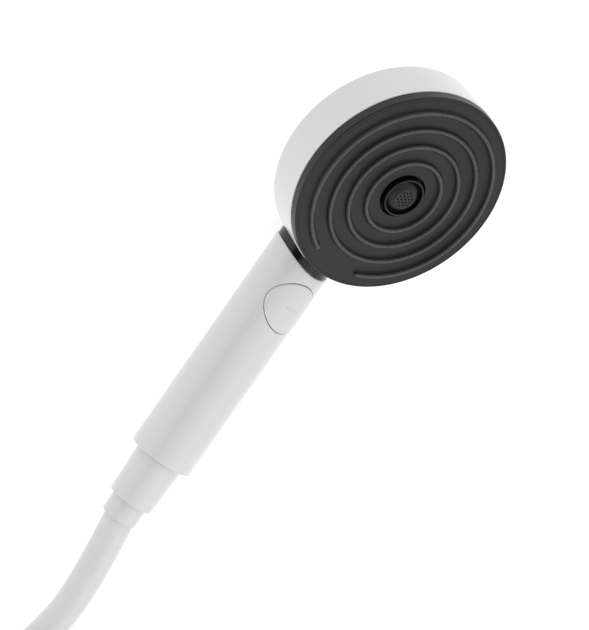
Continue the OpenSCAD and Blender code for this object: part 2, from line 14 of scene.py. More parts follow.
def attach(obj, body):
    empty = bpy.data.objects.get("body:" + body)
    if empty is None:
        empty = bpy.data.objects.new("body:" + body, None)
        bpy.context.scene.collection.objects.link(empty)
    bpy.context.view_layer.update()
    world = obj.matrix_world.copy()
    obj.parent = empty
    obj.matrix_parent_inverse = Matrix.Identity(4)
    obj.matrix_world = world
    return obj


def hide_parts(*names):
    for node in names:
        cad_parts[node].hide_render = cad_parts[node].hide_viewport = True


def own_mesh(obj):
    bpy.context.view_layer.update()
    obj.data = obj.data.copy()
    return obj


MM = 0.001
COAT_ROUGHNESS = 0.16

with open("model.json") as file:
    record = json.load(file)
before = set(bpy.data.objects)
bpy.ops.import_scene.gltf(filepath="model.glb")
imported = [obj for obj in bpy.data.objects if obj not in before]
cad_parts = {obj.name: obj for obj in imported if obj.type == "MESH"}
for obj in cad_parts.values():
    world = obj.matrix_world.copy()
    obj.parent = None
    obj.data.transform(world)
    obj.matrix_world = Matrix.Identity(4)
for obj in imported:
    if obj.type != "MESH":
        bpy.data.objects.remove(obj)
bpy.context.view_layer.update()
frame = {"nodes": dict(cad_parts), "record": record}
nodes = frame["nodes"]

# ---------------------------------------------------------------- driving dimensions, as in the part's source

HEAD_R = 52.5
HEAD_DEPTH = 21.4
HEAD_TILT = math.radians(14.5)
HEAD_REACH = 166
HEAD_RISE = 28
HEAD_EDGE = 1.5
CUP_R = 50
CUP_FLOOR = -18.9
PLATE_R = 52.1
PLATE_TOP = 5
PLATE_UNDER = 1.4
PLATE_SEAT = 0.15
SKIRT_R = 49.85
SKIRT_IN = 46.45
SKIRT_LOW = -7
RING_FIRST_R = 18.4
RING_STEP = 8.75
RING_HALF_W = 1.6
RING_TOP_HALF_W = 0.6
RING_TOP = 7.1
RING_COUNT = 4
RING_GAP = math.radians(36)
RING_GAP_AT = math.radians(178.5)
SLOT_HALF_W = RING_HALF_W + 0.1
SLOT_FLOOR = 4
WELL_R = 11
HANDLE_R = 16
HANDLE_BORE = 13.4
FOOT_BORE = 10.55
FOOT_WALL = 2.5
NIPPLE_OUT = 12
COLLAR_W = 3.9
BUTTON_X = 93
BUTTON_R = 12.5
BUTTON_HOLE_R = 12.8
BUTTON_TOP = HANDLE_R + 0.4
BUTTON_UNDER = HANDLE_R - 1.8
BUTTON_BOSS_R = 4
BUTTON_BOSS_LOW = 8
HOSE_D = 15.5
HOSE_R = HOSE_D / 2

FAR_EDGE_X = (
    HEAD_REACH
    + (HEAD_R - HEAD_EDGE) * math.cos(HEAD_TILT)
    + (HEAD_DEPTH - HEAD_EDGE) * math.sin(HEAD_TILT)
    + HEAD_EDGE
)
FOOT_X = -(FAR_EDGE_X - NIPPLE_OUT) / 2

IN_HANDLE = Matrix.Translation(Vector((FOOT_X, 0, HANDLE_R)) * MM)
ALONG_X = Matrix.Rotation(math.radians(90), 4, "Y")
HANDLE_AXIS = IN_HANDLE @ ALONG_X
IN_HEAD = (
    IN_HANDLE
    @ Matrix.Translation(Vector((HEAD_REACH, 0, HEAD_RISE)) * MM)
    @ Matrix.Rotation(-HEAD_TILT, 4, "Y")
)

# ---------------------------------------------------------------- camera

CAMERA_AT = (0.04394, 0.55407, 0.6343)
CAMERA_AIM = (-0.06955, -0.67741, -0.73231)
CAMERA_UP = (0.81645, 0.38316, -0.43198)
SENSOR = 36
LENS = 101.74


def make_camera():
    data = bpy.data.cameras.new("camera")
    data.sensor_width = SENSOR
    data.lens = LENS
    data.clip_start = 0.01
    camera = bpy.data.objects.new("camera", data)
    back = -Vector(CAMERA_AIM).normalized()
    right = Vector(CAMERA_UP).cross(back).normalized()
    up = back.cross(right)
    turn = Matrix((right, up, back)).transposed().to_4x4()
    camera.matrix_world = Matrix.Translation(CAMERA_AT) @ turn
    bpy.context.scene.collection.objects.link(camera)
    bpy.context.scene.camera = camera


make_camera()

# ---------------------------------------------------------------- materials


def new_material(name, colour, roughness):
    material = bpy.data.materials.new(name)
    material.use_nodes = True
    tree = material.node_tree
    shader = tree.nodes["Principled BSDF"]
    shader.inputs["Base Color"].default_value = (*colour, 1)
    shader.inputs["Roughness"].default_value = roughness
    return material, tree, shader


def add_noise(tree, scale, detail):
    place = tree.nodes.new("ShaderNodeTexCoord")
    noise = tree.nodes.new("ShaderNodeTexNoise")
    noise.inputs["Scale"].default_value = scale
    noise.inputs["Detail"].default_value = detail
    tree.links.new(place.outputs["Object"], noise.inputs["Vector"])
    return noise.outputs["Fac"]


def add_range(tree, source, low, high):
    spread = tree.nodes.new("ShaderNodeMapRange")
    spread.inputs["From Min"].default_value = 0.3
    spread.inputs["From Max"].default_value = 0.7
    spread.inputs["To Min"].default_value = low
    spread.inputs["To Max"].default_value = high
    tree.links.new(source, spread.inputs["Value"])
    return spread.outputs["Result"]


def add_tint(tree, shader, source, dark, light):
    mix = tree.nodes.new("ShaderNodeMix")
    mix.data_type = "RGBA"
    mix.inputs["A"].default_value = (*dark, 1)
    mix.inputs["B"].default_value = (*light, 1)
    tree.links.new(source, mix.inputs["Factor"])
    tree.links.new(mix.outputs["Result"], shader.inputs["Base Color"])


def add_bump(tree, shader, source, depth_mm, strength=0.4):
    bump = tree.nodes.new("ShaderNodeBump")
    bump.inputs["Strength"].default_value = strength
    bump.inputs["Distance"].default_value = depth_mm * MM
    tree.links.new(source, bump.inputs["Height"])
    tree.links.new(bump.outputs["Normal"], shader.inputs["Normal"])


def add_painted_shade(tree, shader, dark):
    """Painted shade: the colour goes to a dark one where the mesh's own "fade" values say so, as shade falls
    in a recess.
    """
    open_colour = shader.inputs["Base Color"].links[0].from_socket
    fade = tree.nodes.new("ShaderNodeAttribute")
    fade.attribute_name = "fade"
    mix = tree.nodes.new("ShaderNodeMix")
    mix.data_type = "RGBA"
    mix.inputs["B"].default_value = (*dark, 1)
    tree.links.new(fade.outputs["Fac"], mix.inputs["Factor"])
    tree.links.new(open_colour, mix.inputs["A"])
    tree.links.new(mix.outputs["Result"], shader.inputs["Base Color"])


def moulded(
    name, colour, roughness, spread=0.04, grain=700, depth_mm=0.0,
    tint=0.01, specular=0.5, coat=0.0, shade_colour=None,
):
    """A moulded plastic or rubber: a slightly uneven gloss and tone, where it has depth a fine grain, and,
    where a shade colour is given, painted shade that darkens it by the mesh's fade values.
    """
    material, tree, shader = new_material(name, colour, roughness)
    shader.inputs["Specular IOR Level"].default_value = specular
    patches = add_noise(tree, 60, 2)
    uneven = add_range(tree, patches, roughness - spread, roughness + spread)
    tree.links.new(uneven, shader.inputs["Roughness"])
    dark = [c * (1 - tint) for c in colour]
    light = [min(1, c * (1 + tint)) for c in colour]
    add_tint(tree, shader, add_range(tree, add_noise(tree, 25, 2), 0, 1), dark, light)
    if shade_colour:
        add_painted_shade(tree, shader, shade_colour)
    if depth_mm:
        add_bump(tree, shader, add_noise(tree, grain, 2), depth_mm)
    if coat:
        shader.inputs["Coat Weight"].default_value = coat
        shader.inputs["Coat Roughness"].default_value = COAT_ROUGHNESS
    return material


def metal(name, colour, roughness):
    material, tree, shader = new_material(name, colour, roughness)
    shader.inputs["Metallic"].default_value = 1
    uneven = add_range(tree, add_noise(tree, 400, 4), roughness - 0.06, roughness + 0.08)
    tree.links.new(uneven, shader.inputs["Roughness"])
    add_bump(tree, shader, add_noise(tree, 1500, 2), 0.01, 0.3)
    return material


WHITE = moulded("white_plastic", (0.67, 0.67, 0.67), 0.30, 0.012, tint=0.005, coat=0.55)
HOSE_WHITE = moulded("hose_plastic", (0.66, 0.66, 0.66), 0.33, 0.015, tint=0.008, coat=0.5)
BLACK = moulded("black_plastic", (0.0055, 0.0055, 0.0055), 0.40, 0.03, 2600, 0.006, tint=0.1, specular=0.38)
# painted shade: a darker, duller black that the slots' walls and floors and the rim's well take in place of
# the plate's black
SHADE_BLACK = moulded("painted_shade_black", (0.003, 0.003, 0.003), 0.5, 0.03, 2600, 0.006, tint=0.1, specular=0.15)
COLLAR_BLACK = moulded("collar_plastic", (0.003, 0.003, 0.003), 0.22, 0.02, 1500, 0.002, tint=0.1)
# painted shade: the rubber darkens towards a near-black down the rings' flanks, by their fade values
RUBBER = moulded(
    "grey_rubber", (0.062, 0.062, 0.062), 0.42, 0.04, 2600, 0.01,
    tint=0.1, specular=0.38, shade_colour=(0.002, 0.002, 0.002),
)
CREAM = moulded("cream_plastic", (0.62, 0.60, 0.54), 0.45, 0.05, 900, 0.01)
SEAL = moulded("seal_rubber", (0.10, 0.02, 0.015), 0.6, 0.06, 1800, 0.01, tint=0.1)
STEEL = metal("steel", (0.62, 0.63, 0.65), 0.3)
BRASS = metal("brass", (0.75, 0.58, 0.28), 0.28)

SLOTS = {
    "white_plastic": WHITE,
    "hose_plastic": HOSE_WHITE,
    "black_plastic": BLACK,
    "grey_rubber": RUBBER,
    "cream_plastic": CREAM,
    "seal_rubber": SEAL,
    "steel": STEEL,
    "brass": BRASS,
}


def paint_nodes():
    """The CAD nodes that stay take the scene's materials."""
    for part in frame["record"]["subparts"]:
        node = nodes[part["node"]]
        node.data.materials.clear()
        node.data.materials.append(SLOTS[part["material_slot"]])
    nodes["neck_collar"].data.materials[0] = COLLAR_BLACK


paint_nodes()

# ---------------------------------------------------------------- mesh helpers


def ease(s):
    c = min(max(s, 0), 1)
    return c * c * (3 - 2 * c)


def turn(steps, start=0.0, span=2 * math.pi):
    return [start + span * k / steps for k in range(steps)]


def grid_faces(rows, cols, loop_rows=False, loop_cols=True):
    faces = []
    for i in range(rows if loop_rows else rows - 1):
        for j in range(cols if loop_cols else cols - 1):
            below, above = i * cols, (i + 1) % rows * cols
            here, there = j, (j + 1) % cols
            faces.append((below + here, below + there, above + there, above + here))
    return faces


def mesh_object(name, points, faces, place, material, body="handset", slot="white_plastic", sharp=40):
    """A clean smooth-shaded mesh. Its points are in millimetres in the frame that place gives."""
    mesh = bpy.data.meshes.new(name)
    mesh.from_pydata([place @ (Vector(p) * MM) for p in points], [], faces)
    made = bmesh.new()
    made.from_mesh(mesh)
    bmesh.ops.remove_doubles(made, verts=made.verts, dist=0.002 * MM)
    bmesh.ops.recalc_face_normals(made, faces=made.faces)
    made.to_mesh(mesh)
    made.free()
    mesh.shade_smooth()
    mesh.set_sharp_from_angle(angle=math.radians(sharp))
    mesh.materials.append(material)
    obj = bpy.data.objects.new(name, mesh)
    bpy.context.scene.collection.objects.link(obj)
    weigh = obj.modifiers.new("even_normals", "WEIGHTED_NORMAL")
    weigh.keep_sharp = True
    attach(obj, body)
    return obj


def paint_shade_faces(obj, material, in_shade):
    """Gives a second, darker material to the faces that a test picks by centre and normal, in the head's
    frame: painted shade in recesses.
    """
    obj.data.materials.append(material)
    back = IN_HEAD.inverted()
    for face in obj.data.polygons:
        centre = back @ face.center / MM
        normal = back.to_3x3() @ face.normal
        if in_shade(centre, normal):
            face.material_index = 1


def paint_shade_down(obj, top, foot):
    """Sets the mesh's fade values for painted shade, from 0 at one height in the head's frame to 1 at a lower
    one, so the colour darkens lower down.
    """
    back = IN_HEAD.inverted()
    fade = obj.data.attributes.new("fade", "FLOAT", "POINT")
    for value, vertex in zip(fade.data, obj.data.vertices):
        height = (back @ vertex.co).z / MM
        value.value = ease((top - height) / (top - foot))


def rounded(corners, steps=5):
    """An outline whose corners (x, y, radius) are rounded where they name a radius."""
    outline = []
    count = len(corners)
    for i, corner in enumerate(corners):
        point = Vector(corner[:2])
        radius = corner[2] if len(corner) > 2 else 0
        if not radius:
            outline.append(point)
            continue
        back = (Vector(corners[i - 1][:2]) - point).normalized()
        on = (Vector(corners[(i + 1) % count][:2]) - point).normalized()
        half = back.angle(on) / 2
        centre = point + (back + on).normalized() * radius / math.sin(half)
        first = point + back * radius / math.tan(half) - centre
        last = point + on * radius / math.tan(half) - centre
        sweep = first.angle(last)
        for k in range(steps + 1):
            t = k / steps
            mixed = first * math.sin((1 - t) * sweep) + last * math.sin(t * sweep)
            outline.append(centre + mixed / math.sin(sweep))
    return outline


def lathe(name, corners, place, material, steps=128, **kind):
    """A closed outline in (radius, height), turned about the local z axis."""
    outline = rounded(corners)
    points = [(p.x * math.cos(a), p.x * math.sin(a), p.y) for p in outline for a in turn(steps)]
    faces = grid_faces(len(outline), steps, loop_rows=True)
    return mesh_object(name, points, faces, place, material, **kind)


# ---------------------------------------------------------------- hose

LEAD = [
    (-131.5, 0, 16), (-141, -0.8, 16), (-152, -2.5, 16), (-164, -4.7, 15.6), (-175, -6.9, 14.4),
    (-187, -9.2, 12.6), (-198, -10.4, 10.6), (-210, -9.6, 8.9), (-221, -6.8, 8), (-231.5, -2.1, 7.75),
    (-241, 4.3, 7.75),
]
COIL_X, COIL_Y = -321, -50
COIL_ANGLE = 41
COIL_OUTER = 95
COIL_INNER = COIL_OUTER - 2 * HOSE_D
COIL_UPPER = 79
COIL_TURNS = 2.97
COIL_STEPS = 72
CLIMB_FROM = 1.85
CLIMB_FOR = 0.4
WIDEN_FROM = 2.1
WIDEN_FOR = 0.5
END_LIFT = 5.2
END_LIFT_FROM = 2.8
FINE = 6


def coil_point(t):
    """The hose's centre after t turns: two turns inwards on the surface, then one on top of them."""
    if t < 2:
        radius = COIL_OUTER - HOSE_D * t
    else:
        radius = COIL_INNER + (COIL_UPPER - COIL_INNER) * ease((t - WIDEN_FROM) / WIDEN_FOR)
    climb = HOSE_D * ease((t - CLIMB_FROM) / CLIMB_FOR)
    lift = END_LIFT * ease((t - END_LIFT_FROM) / (COIL_TURNS - END_LIFT_FROM))
    heading = math.radians(COIL_ANGLE + 360 * t)
    return (COIL_X + radius * math.cos(heading), COIL_Y + radius * math.sin(heading), HOSE_R + climb + lift)


def smooth_route(points):
    """The points with more between them, on one smooth curve."""
    out = []
    ends = [points[0], *points, points[-1]]
    for a, b, c, d in zip(ends, ends[1:], ends[2:], ends[3:]):
        a, b, c, d = (Vector(p) for p in (a, b, c, d))
        for k in range(FINE):
            t = k / FINE
            square, cube = 2 * a - 5 * b + 4 * c - d, 3 * b - a - 3 * c + d
            out.append(0.5 * (2 * b + (c - a) * t + square * t**2 + cube * t**3))
    out.append(Vector(points[-1]))
    return out


def make_hose():
    turns = [coil_point(COIL_TURNS * k / COIL_STEPS) for k in range(COIL_STEPS + 1)]
    route = smooth_route(LEAD + turns)
    data = bpy.data.curves.new("hose", "CURVE")
    data.dimensions = "3D"
    data.bevel_depth = HOSE_R * MM
    data.bevel_resolution = 10
    data.use_fill_caps = True
    spline = data.splines.new("POLY")
    spline.points.add(len(route) - 1)
    for at, point in zip(spline.points, route):
        at.co = (*(point * MM), 1)
    spline.use_smooth = True
    data.materials.append(HOSE_WHITE)
    hose = bpy.data.objects.new("hose", data)
    bpy.context.scene.collection.objects.link(hose)
    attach(hose, "handset")
    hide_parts("hose_lead", "hose_coil", "hose_upper_turn", "hose_tail")
    return hose


hose = make_hose()

# ---------------------------------------------------------------- spray head


def smooth_min(a, b, blend):
    near = max(blend - abs(a - b), 0) / blend
    return min(a, b) - near * near * blend / 4


def neck_spheres():
    """Spheres along the neck, in the head's frame: the handle's end, then a cone that fades into the back."""
    from_x, elbow_x, rise, fade, tip_r, steps = 100, 138, math.radians(26), 52, 5, 60
    path = [((x, 0), HANDLE_R) for x in range(from_x, elbow_x)]
    for k in range(steps + 1):
        s = k / steps
        at = (elbow_x + fade * s * math.cos(rise), fade * s * math.sin(rise))
        path.append((at, HANDLE_R + (tip_r - HANDLE_R) * s))
    cos_t, sin_t = math.cos(HEAD_TILT), math.sin(HEAD_TILT)
    spheres = []
    for (x, z), radius in path:
        dx, dz = x - HEAD_REACH, z - HEAD_RISE
        spheres.append((dx * cos_t + dz * sin_t, -dx * sin_t + dz * cos_t, radius))
    return spheres


NECK_SPHERES = neck_spheres()
NECK_BLEND = 2.5


def back_height(u, v):
    """How low the head's back is at a point: flat, or lower where the neck runs into it."""
    lowest = 0.0
    for at, height, radius in NECK_SPHERES:
        room = radius * radius - (u - at) ** 2 - v * v
        if room > 0:
            lowest = min(lowest, height - math.sqrt(room))
    return smooth_min(-HEAD_DEPTH, lowest, NECK_BLEND)


def head_angles():
    """Coarse round the head, fine where the neck joins."""
    coarse = [math.radians(a) for a in range(-150, 151, 3)]
    fine = [math.radians(150 + a / 2) for a in range(1, 120)]
    return coarse + fine


def make_head():
    """The white cup: its inside, a fine lip, the wall, the rounded edge and the back with the neck."""
    lip_r, floor_fillet, lip_bevel = 0.3, 0.4, 0.25
    angles = head_angles()
    cols = len(angles)
    rows = []

    def circle(radius, height):
        rows.append([(radius * math.cos(a), radius * math.sin(a), height) for a in angles])

    circle(0, CUP_FLOOR)
    circle(CUP_R - floor_fillet, CUP_FLOOR)
    circle(CUP_R, CUP_FLOOR + floor_fillet)
    circle(CUP_R, -lip_bevel)
    circle(CUP_R + lip_bevel, 0)
    for k in range(5):
        a = math.radians(90 - 22.5 * k)
        circle(HEAD_R - lip_r + lip_r * math.cos(a), -lip_r + lip_r * math.sin(a))
    lows = [back_height(HEAD_R * math.cos(a), HEAD_R * math.sin(a)) for a in angles]
    for share in (0.25, 0.5, 0.75, 1):
        rows.append([
            (HEAD_R * math.cos(a), HEAD_R * math.sin(a), -lip_r + share * (low + HEAD_EDGE + lip_r))
            for a, low in zip(angles, lows)
        ])
    for k in range(1, 7):
        b = math.radians(15 * k)
        inset = HEAD_EDGE * (1 - math.cos(b))
        row = []
        for a, low in zip(angles, lows):
            free = 1 - ease((-HEAD_DEPTH + 0.2 - low) / NECK_BLEND)
            radius = HEAD_R - inset * free
            x, y = radius * math.cos(a), radius * math.sin(a)
            row.append((x, y, back_height(x, y) + HEAD_EDGE * (1 - math.sin(b))))
        rows.append(row)
    back_rows = 60
    for k in range(1, back_rows + 1):
        radius = (HEAD_R - HEAD_EDGE) * (1 - k / back_rows)
        row = [(radius * math.cos(a), radius * math.sin(a)) for a in angles]
        rows.append([(x, y, back_height(x, y)) for x, y in row])
    points = [p for row in rows for p in row]
    faces = grid_faces(len(rows), cols)
    head = mesh_object("head_cup", points, faces, IN_HEAD, WHITE)
    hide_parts("head_shell")


make_head()


END_STEP = 0.25
END_WALL = 0.01


def ring_radius(k):
    return RING_FIRST_R + (k - 1) * RING_STEP


def gap_distance(angle):
    """How far a point of the outermost ring is past the nearer end of its gap. Below 0, it is in the gap."""
    return (abs(angle % (2 * math.pi) - RING_GAP_AT) - RING_GAP / 2) * ring_radius(RING_COUNT)


def face_angles():
    """Angles round the spray face, finer at both ends of the outermost ring."""
    ends = [RING_GAP_AT - RING_GAP / 2, RING_GAP_AT + RING_GAP / 2]
    offsets = [END_STEP * k for k in range(-8, 9) if k] + [-END_WALL, END_WALL]
    fine = [end + offset / ring_radius(RING_COUNT) for end in ends for offset in offsets]
    coarse = [a for a in turn(240) if abs(gap_distance(a)) > 8.5 * END_STEP]
    return sorted(fine + coarse)


def make_plate():
    """The black face: a flat top with a slot for each spray ring, a rounded edge and the skirt below it."""
    angles = face_angles()
    rows = []

    def circle(radius, height):
        rows.append([(radius, height)] * len(angles))

    for p in rounded([(WELL_R, PLATE_UNDER), (WELL_R, PLATE_TOP, 0.5), (WELL_R + 2, PLATE_TOP)])[:-1]:
        circle(*p)
    for k in range(1, RING_COUNT + 1):
        for side, height in ((-1, PLATE_TOP), (-1, SLOT_FLOOR), (1, SLOT_FLOOR), (1, PLATE_TOP)):
            radius = ring_radius(k) + side * SLOT_HALF_W
            filled = [k == RING_COUNT and gap_distance(a) < 0 for a in angles]
            rows.append([(radius, PLATE_TOP if full else height) for full in filled])
    groove = PLATE_R - 1.5
    groove_floor = PLATE_TOP - 0.12
    for p in [(groove - 0.2, PLATE_TOP), (groove - 0.1, groove_floor), (groove + 0.1, groove_floor)]:
        circle(*p)
    for p in rounded([(groove + 0.2, PLATE_TOP), (PLATE_R, PLATE_TOP, 0.8), (PLATE_R, PLATE_SEAT)]):
        circle(*p)
    for p in [(SKIRT_R, PLATE_SEAT), (SKIRT_R, SKIRT_LOW), (SKIRT_IN, SKIRT_LOW), (SKIRT_IN, PLATE_UNDER)]:
        circle(*p)
    points = [(r * math.cos(a), r * math.sin(a), z) for row in rows for (r, z), a in zip(row, angles)]
    faces = grid_faces(len(rows), len(angles), loop_rows=True)
    plate = mesh_object("spray_face", points, faces, IN_HEAD, BLACK, slot="black_plastic")
    edge = PLATE_R - 1
    # painted shade: the slots' walls and floors below the face take the darker black
    paint_shade_faces(plate, SHADE_BLACK, lambda at, normal: 0 < at.z < PLATE_TOP - 0.3 and math.hypot(at.x, at.y) < edge)
    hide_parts("spray_plate")


make_plate()

NOZZLE_PITCH = 3.6
NUB_SIDES = 12
NUB = [(0.0, -0.3), (0.18, -0.3), (0.2, 0.05), (0.3, 0.1), (0.42, 0.05), (0.5, -0.1)]


def make_ring(k):
    """One soft spray ring: a rounded ridge let into the plate, with a row of nozzle tips along its crest."""
    r = ring_radius(k)
    last = k == RING_COUNT
    angles = turn(240)
    if last:
        angles = [a for a in face_angles() if gap_distance(a) > 0]
        after = [a for a in angles if a > RING_GAP_AT]
        angles = after + [a + 2 * math.pi for a in angles if a < RING_GAP_AT]
    foot, crest = RING_HALF_W, RING_TOP_HALF_W
    toe, toe_top = foot - 0.35, PLATE_TOP + 0.15
    ridge = rounded([
        (-foot, SLOT_FLOOR), (-foot, PLATE_TOP), (-toe, toe_top, 0.4), (-crest, RING_TOP, 0.55),
        (crest, RING_TOP, 0.55), (toe, toe_top, 0.4), (foot, PLATE_TOP), (foot, SLOT_FLOOR),
    ])
    points = []
    for off, height in ridge:
        for a in angles:
            from_end = 1 - min(gap_distance(a) / RING_HALF_W, 1) if last else 0
            share = math.sqrt(1 - 0.98 * from_end**2) if height > PLATE_TOP else 1
            radius, rise = r + off * share, (height - PLATE_TOP) * share
            points.append((radius * math.cos(a), radius * math.sin(a), PLATE_TOP + rise))
    cols = len(angles)
    faces = grid_faces(len(ridge), cols, loop_rows=True, loop_cols=not last)
    if last:
        faces += [[i * cols + end for i in range(len(ridge))] for end in (0, cols - 1)]
    span = 2 * math.pi - (RING_GAP + 2 * RING_HALF_W / r if last else 0)
    count = int(r * span / NOZZLE_PITCH)
    for i in range(count):
        a = RING_GAP_AT + (2 * math.pi - span) / 2 + span * (i + 0.5) / count
        centre = Vector((r * math.cos(a), r * math.sin(a), RING_TOP))
        start = len(points)
        for radius, height in NUB:
            for b in turn(NUB_SIDES):
                points.append(centre + Vector((radius * math.cos(b), radius * math.sin(b), height)))
        faces += [tuple(start + v for v in face) for face in grid_faces(len(NUB), NUB_SIDES)]
    ring = mesh_object(f"ring_{k}", points, faces, IN_HEAD, RUBBER, slot="grey_rubber")
    # painted shade: the ring's colour darkens from just below its crest down to near the face
    paint_shade_down(ring, RING_TOP - 0.1, PLATE_TOP + 0.5)
    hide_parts(f"spray_ring_{k}")


for ring_number in range(1, RING_COUNT + 1):
    make_ring(ring_number)

RIM_R = 9.8
RIM_IN = 8.9
RIM_TOP = PLATE_TOP + 1.9
RIM_LEDGE = 2.4
RIM_FLOOR = PLATE_TOP - 0.5
RIM_SEAT_R = WELL_R - 0.1
DISC_R = 6.6
rim = lathe(
    "nozzle_rim",
    [
        (DISC_R, PLATE_UNDER), (RIM_SEAT_R, PLATE_UNDER), (RIM_SEAT_R, RIM_LEDGE), (RIM_R, RIM_LEDGE, 0.1),
        (RIM_R, RIM_TOP, 0.35), (RIM_IN, RIM_TOP, 0.35), (RIM_IN, RIM_FLOOR), (DISC_R, RIM_FLOOR),
    ],
    IN_HEAD, BLACK, slot="black_plastic",
)
# painted shade: the rim's inner walls and the parts below the face take the darker black
paint_shade_faces(rim, SHADE_BLACK, lambda at, normal: at.z < RIM_TOP - 0.4 and normal.z < 0.6 or at.z < PLATE_TOP - 1)
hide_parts("centre_rim")

# ---------------------------------------------------------------- handle


def mouth_x(radius, angle, reach):
    """Where a point of the handle at that radius and angle is this far from the head's axis."""
    y, z = radius * math.sin(angle), radius * math.cos(angle)
    u = -math.sqrt(reach * reach - y * y)
    return HEAD_REACH + (u - (z - HEAD_RISE) * math.sin(HEAD_TILT)) / math.cos(HEAD_TILT)


class HandleMesh:
    """The handle's shell: an outer and an inner skin, joined at the foot, the mouth and the button's hole."""

    cols = 144
    patch_cols = 31
    patch_x = 16
    patch_rows = 16

    def __init__(self):
        self.points = []
        self.faces = []

    def add(self, points):
        start = len(self.points)
        self.points += points
        return list(range(start, len(self.points)))

    def bridge(self, one, two):
        count = len(one)
        for i in range(count):
            j = (i + 1) % count
            self.faces.append((one[i], one[j], two[j], two[i]))

    def circle(self, radius, x):
        """A loop round the handle, at one station or on a curve of stations."""
        place = x if callable(x) else lambda a: x
        return self.add([(place(a), radius * math.sin(a), radius * math.cos(a)) for a in turn(self.cols)])

    def hole_loop(self, hole, depth, radius, edge):
        """A loop round the button's hole, in the order of the patch's edge."""
        out = []
        for x, a in edge:
            t = math.atan2(a * HANDLE_R, x)
            hx, hy = hole * math.cos(t), hole * math.sin(t)
            out.append((BUTTON_X + hx, hy, math.sqrt(radius * radius - hy * hy) - depth))
        return self.add(out)

    def skin(self, radius, first, last):
        """One skin between two stations, with the hole. Gives its end loops and the hole's loop."""
        low, high = BUTTON_X - self.patch_x, BUTTON_X + self.patch_x
        xs = [low + 2 * self.patch_x * k / self.patch_rows for k in range(self.patch_rows + 1)]
        loops = [self.circle(radius, first)]
        loops += [self.circle(radius, x) for x in xs]
        loops.append(self.circle(radius, last))
        self.bridge(loops[0], loops[1])
        self.bridge(loops[-2], loops[-1])
        inside = set(range(-self.patch_cols, self.patch_cols))
        for one, two in zip(loops[1:-2], loops[2:-1]):
            for i in range(self.cols):
                signed = i if i < self.cols / 2 else i - self.cols
                if signed not in inside:
                    j = (i + 1) % self.cols
                    self.faces.append((one[i], one[j], two[j], two[i]))
        n, m = self.patch_cols, self.patch_rows
        step = 2 * math.pi / self.cols
        walk = [(r, -n) for r in range(m)] + [(m, c) for c in range(-n, n)]
        walk += [(r, n) for r in range(m, 0, -1)] + [(0, c) for c in range(n, -n, -1)]
        edge = [(xs[r] - BUTTON_X, c * step) for r, c in walk]
        outer = [loops[1 + r][c % self.cols] for r, c in walk]
        return loops[0], loops[-1], outer, edge

    def fill_patch(self, radius, outer, edge, hole, rings=6):
        """Loops from the patch's edge in to the hole, on the skin."""
        previous = outer
        for k in range(1, rings + 1):
            s = 1 - (1 - k / rings) ** 1.6
            out = []
            for x, a in edge:
                t = math.atan2(a * HANDLE_R, x)
                hx, hy = hole * math.cos(t), hole * math.sin(t)
                ha = math.asin(hy / radius)
                px, pa = x + (hx - x) * s, a + (ha - a) * s
                out.append((BUTTON_X + px, radius * math.sin(pa), radius * math.cos(pa)))
            loop = self.add(out)
            self.bridge(previous, loop)
            previous = loop
        return previous


def make_handle():
    """The outer skin, its soft edges at the hole, mouth and foot, then the inner skin and the foot's bore."""
    mouth = HEAD_R + COLLAR_W
    fillet = 0.6
    shell = HandleMesh()
    foot, end, outer, edge = shell.skin(HANDLE_R, fillet, lambda a: mouth_x(HANDLE_R, a, mouth + fillet))
    soft = 0.35
    brim = shell.fill_patch(HANDLE_R, outer, edge, BUTTON_HOLE_R + soft)
    for k in range(1, 6):
        b = math.radians(18 * k)
        hole = BUTTON_HOLE_R + soft * (1 - math.sin(b))
        loop = shell.hole_loop(hole, soft * (1 - math.cos(b)), HANDLE_R, edge)
        shell.bridge(brim, loop)
        brim = loop
    for k in range(1, 6):
        b = math.radians(18 * k)
        radius = HANDLE_R - fillet * (1 - math.cos(b))
        reach = mouth + fillet * (1 - math.sin(b))
        loop = shell.circle(radius, lambda a, r=radius, m=reach: mouth_x(r, a, m))
        shell.bridge(end, loop)
        end = loop
        loop = shell.circle(radius, fillet * (1 - math.sin(b)))
        shell.bridge(loop, foot)
        foot = loop
    in_foot, in_end, in_outer, _ = shell.skin(
        HANDLE_BORE, FOOT_WALL, lambda a: mouth_x(HANDLE_BORE, a, mouth)
    )
    in_brim = shell.fill_patch(HANDLE_BORE, in_outer, edge, BUTTON_HOLE_R)
    shell.bridge(brim, in_brim)
    shell.bridge(end, in_end)
    for x in (0, FOOT_WALL):
        loop = shell.circle(FOOT_BORE, x)
        shell.bridge(loop, foot)
        foot = loop
    shell.bridge(in_foot, foot)
    handle = mesh_object("handle", shell.points, shell.faces, IN_HANDLE, WHITE)
    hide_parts("handle_shell")


make_handle()

MARK = [(0, 2.2 * (k - 1.5)) for k in range(4)]
MARK_R = 0.8
MARK_DEPTH = 0.3


def mark_depth(x, y):
    """A row of four small dimples in the button."""
    for cx, cy in MARK:
        away = math.hypot(x - cx, y - cy)
        if away < MARK_R:
            return MARK_DEPTH * ease((MARK_R - away) / 0.4)
    return 0


